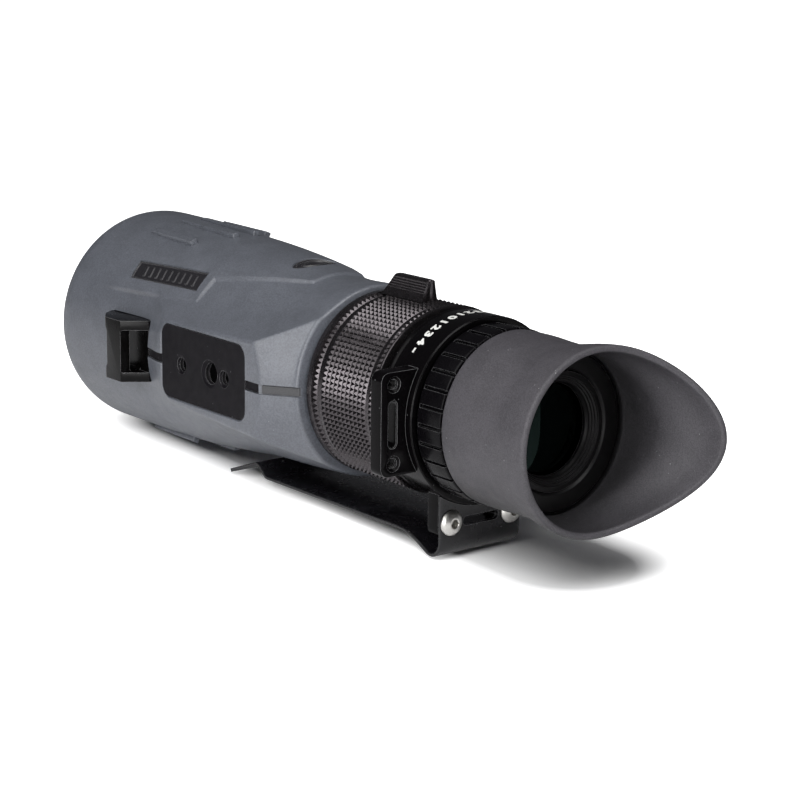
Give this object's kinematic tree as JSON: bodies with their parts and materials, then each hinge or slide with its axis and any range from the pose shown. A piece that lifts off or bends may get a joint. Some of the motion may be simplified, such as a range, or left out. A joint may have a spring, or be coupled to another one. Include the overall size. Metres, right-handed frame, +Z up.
{
  "type": "spotting scope",
  "caption": "Compact straight spotting scope with rubber armour, knurled focus ring, winged eyecup, strap lugs, side mounting plates and a spring belt clip.",
  "frame": {"origin": "on the left mounting plate's outer face, at the height of the optical axis, between the tripod socket and the front threaded hole", "axes": "+Y along the optical axis towards the objective, +Z up, -X out of the left mounting plate"},
  "size_m": [0.0932, 0.2719, 0.0873],
  "materials": {
    "armour_rubber": "moulded rubber armour, mid grey with a faint blue cast, satin-matt with a fine speckle",
    "eyecup_rubber": "soft moulded rubber, dark grey, matt with a fine speckle",
    "seal_rubber": "black nitrile seal, lightly greased",
    "anodised_black": "black hard-anodised aluminium, satin, bright on turned edges",
    "plate_black": "flat black coated aluminium, very fine texture",
    "housing_black": "satin black coated aluminium, bright worn edges",
    "bare_aluminium": "bare machined aluminium",
    "spring_black": "gloss black coated spring steel",
    "stainless": "stainless steel, lightly polished",
    "brass": "turned brass",
    "lens_glass": "optical glass with a green anti-reflection coating"
  },
  "bodies": {
    "body": {"main_tube": "bare_aluminium", "rubber_armour": "armour_rubber", "label_inset": "plate_black", "badge_inset": "plate_black", "left_mount_plate": "plate_black", "right_mount_plate": "plate_black", "left_strap_lug": "spring_black", "right_strap_lug": "spring_black", "objective_cell": "anodised_black", "objective_seal": "seal_rubber", "objective_crown": "lens_glass", "objective_flint": "lens_glass", "objective_retaining_ring": "anodised_black", "objective_lock_ring": "anodised_black", "stray_light_baffle": "housing_black", "prism_cage": "bare_aluminium", "first_prism": "lens_glass", "roof_prism": "lens_glass", "prism_clamp": "stainless", "focus_front_seal": "seal_rubber", "focus_rear_seal": "seal_rubber", "reticle_cell": "anodised_black", "reticle_glass": "lens_glass", "reticle_lock_ring": "anodised_black", "eyepiece_housing": "housing_black", "belt_clip": "spring_black", "left_clip_screw": "stainless", "right_clip_screw": "stainless"},
    "focus_ring": {"focus_ring": "anodised_black", "focus_tab": "anodised_black"},
    "focus_carriage": {"focus_cell": "anodised_black", "focus_lens": "lens_glass", "focus_lens_ring": "anodised_black", "focus_pin": "brass"},
    "diopter_ring": {"diopter_ring": "housing_black"},
    "ocular": {"ocular_barrel": "housing_black", "field_lens": "lens_glass", "ocular_spacer": "anodised_black", "ocular_doublet": "lens_glass", "eye_lens": "lens_glass", "eye_lens_retainer": "housing_black"},
    "eyecup": {"eyecup_carrier": "housing_black", "eyecup": "eyecup_rubber"}
  },
  "joints": [
    {"name": "focus_turn", "type": "hinge", "parent": "body", "child": "focus_ring", "pos_m": [0.0406, -0.069, 0], "axis": [0, 1, 0], "range_deg": [-150, 150]},
    {"name": "focus_slide", "type": "slide", "parent": "body", "child": "focus_carriage", "axis": [0, 1, 0], "range_m": [-0.004, 0.004]},
    {"name": "diopter_turn", "type": "hinge", "parent": "body", "child": "diopter_ring", "pos_m": [0.0406, -0.11, 0], "axis": [0, 1, 0], "range_deg": [-150, 150]},
    {"name": "ocular_slide", "type": "slide", "parent": "body", "child": "ocular", "axis": [0, 1, 0], "range_m": [-0.0012, 0.0012]},
    {"name": "eyecup_turn", "type": "hinge", "parent": "body", "child": "eyecup", "pos_m": [0.0406, -0.13, 0], "axis": [0, 1, 0], "continuous": true}
  ],
  "couplings": [
    {"joint": "focus_slide", "follows": "focus_turn", "m_per_rad": 0.0015278},
    {"joint": "ocular_slide", "follows": "diopter_turn", "m_per_rad": 0.000458}
  ]
}
